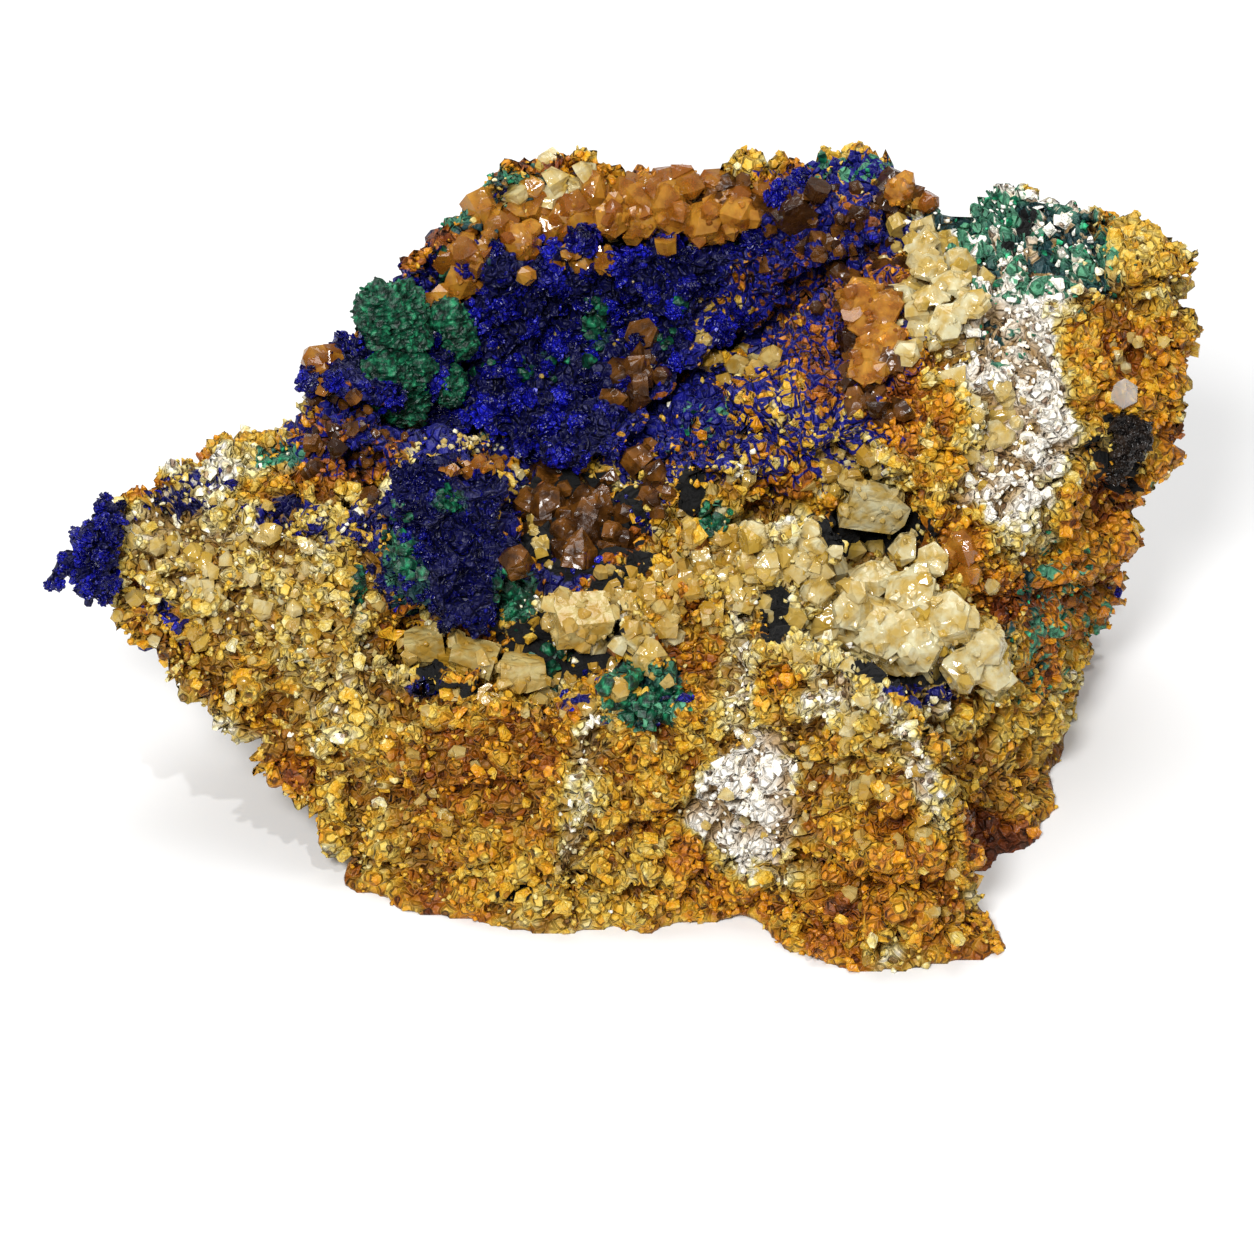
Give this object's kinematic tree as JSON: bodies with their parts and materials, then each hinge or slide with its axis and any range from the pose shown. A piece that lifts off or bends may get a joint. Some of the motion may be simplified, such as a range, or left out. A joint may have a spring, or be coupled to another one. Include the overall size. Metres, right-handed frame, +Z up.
{
  "type": "azurite and malachite mineral specimen",
  "caption": "Angular rock matrix broken open on a hollow lined with azurite, with malachite balls and honey and pale quartz crystals round it; rests on a flat base.",
  "frame": {"origin": "middle of the specimen's bounding box in plan, on the flat base that it rests on", "axes": "+X along the specimen to its right as seen from the broken front, +Y to the back, +Z up"},
  "size_m": [0.0986, 0.0634, 0.0464],
  "materials": {
    "limonite_rock": "rough granular iron-stained quartz rock",
    "azurite": "deep blue crust of small glinting crystals",
    "malachite": "silky fibrous green balls",
    "manganese_oxide": "black sooty tuft",
    "honey_quartz": "glassy honey-brown crystals",
    "pale_quartz": "cream quartz crystals with flat faces",
    "yellow_quartz": "ochre-stained quartz blocks",
    "clear_quartz": "clear quartz point"
  },
  "bodies": {
    "root": {"matrix": "limonite_rock", "azurite_crust_1": "azurite", "azurite_crust_2": "azurite", "azurite_slab_face": "azurite", "azurite_tip_cluster": "azurite", "malachite_ball_upper": "malachite", "malachite_ball_right": "malachite", "malachite_ball_lower": "malachite", "malachite_ball_small": "malachite", "manganese_tuft": "manganese_oxide", "honey_quartz_rim_1": "honey_quartz", "honey_quartz_rim_2": "honey_quartz", "honey_quartz_right": "honey_quartz", "amber_quartz_point": "honey_quartz", "cream_quartz_band": "pale_quartz", "cream_quartz_block": "pale_quartz", "pale_quartz_cluster": "pale_quartz", "rose_quartz_point_1": "pale_quartz", "rose_quartz_point_2": "pale_quartz", "clear_quartz_point": "clear_quartz", "yellow_quartz_block_1": "yellow_quartz", "yellow_quartz_block_2": "yellow_quartz", "yellow_quartz_block_3": "yellow_quartz", "yellow_quartz_block_4": "yellow_quartz"}
  },
  "joints": []
}
